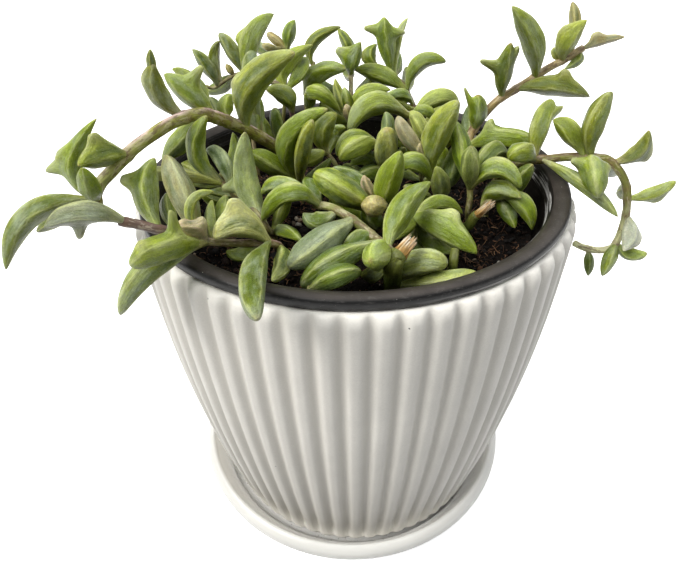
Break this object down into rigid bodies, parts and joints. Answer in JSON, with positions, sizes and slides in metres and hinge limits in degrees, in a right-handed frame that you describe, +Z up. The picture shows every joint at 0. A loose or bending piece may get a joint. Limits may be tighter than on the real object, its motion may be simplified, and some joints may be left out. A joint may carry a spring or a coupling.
{
  "type": "potted succulent",
  "caption": "Trailing string of dolphins succulent with fleshy finned leaves, in a black nursery pot hung in a white fluted cover pot that stands on a round saucer.",
  "frame": {"origin": "on the flat underside of the saucer, under the axis of the pots", "axes": "+Z up along the axis of the pots, -Y towards the viewer of the picture, +X to that viewer's right"},
  "size_m": [0.2118, 0.1752, 0.1968],
  "materials": {
    "saucer_white": "satin white glaze",
    "pot_white": "matt warm white",
    "rim_black": "black, scuffed and dusty",
    "soil_brown": "damp peat with fibres and grit",
    "leaf_green": "waxy, with a pale bloom",
    "dry_tan": "dry and frayed"
  },
  "bodies": {
    "root": {"back_centre_stem": "leaf_green", "back_left_stem": "leaf_green", "back_left_upper_stem": "leaf_green", "back_middle_stem": "leaf_green", "back_purple_stem": "leaf_green", "back_right_stem": "leaf_green", "centre_back_stem": "leaf_green", "centre_front_stem": "leaf_green", "centre_left_stem": "leaf_green", "cover_pot": "pot_white", "front_branch_stem": "leaf_green", "front_dry_end": "dry_tan", "front_left_stem": "leaf_green", "front_right_stub": "leaf_green", "front_short_stem": "leaf_green", "left_arch_stem": "leaf_green", "left_low_stem": "leaf_green", "left_middle_stem": "leaf_green", "middle_stem": "leaf_green", "nursery_pot": "rim_black", "right_back_stem": "leaf_green", "right_cut_stub": "leaf_green", "right_dry_end": "dry_tan", "right_front_stem": "leaf_green", "right_inner_stem": "leaf_green", "right_low_stem": "leaf_green", "right_lower_spray": "leaf_green", "right_middle_stem": "leaf_green", "right_upper_spray": "leaf_green", "saucer": "saucer_white", "short_shoot_01": "leaf_green", "short_shoot_02": "leaf_green", "soil": "soil_brown"}
  },
  "joints": []
}
